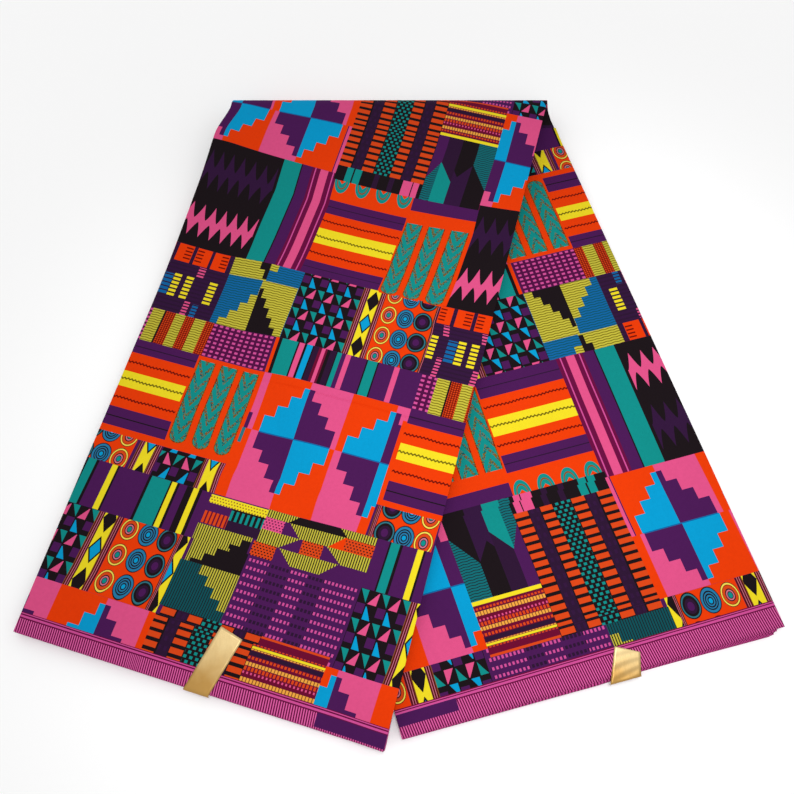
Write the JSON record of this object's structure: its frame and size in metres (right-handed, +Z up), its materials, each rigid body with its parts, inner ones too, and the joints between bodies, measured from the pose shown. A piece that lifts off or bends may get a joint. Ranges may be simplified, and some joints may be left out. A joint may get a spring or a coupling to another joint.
{
  "type": "folded kente print cloth",
  "caption": "Length of bright kente patchwork print cotton, folded into a narrow flat pack and folded once over, its two tails spread in an inverted V, with pink ticked selvedges.",
  "frame": {"origin": "on the surface that the cloth lies on, under the middle of its bounding box", "axes": "+Z up, +Y from the selvedges towards the fold across the top, +X towards the lower tail's side"},
  "size_m": [0.6101, 0.6014, 0.032],
  "materials": {
    "kente_cotton": "matt printed cotton in orange-red, pink, purple, black, teal, light blue, yellow and olive, with pink selvedges",
    "foil_label": "satin gold foil paper, left plain"
  },
  "bodies": {
    "root": {"outer_ply": "kente_cotton", "inner_ply": "kente_cotton", "folded_layers": "kente_cotton", "left_label": "foil_label", "right_label": "foil_label"}
  },
  "joints": []
}
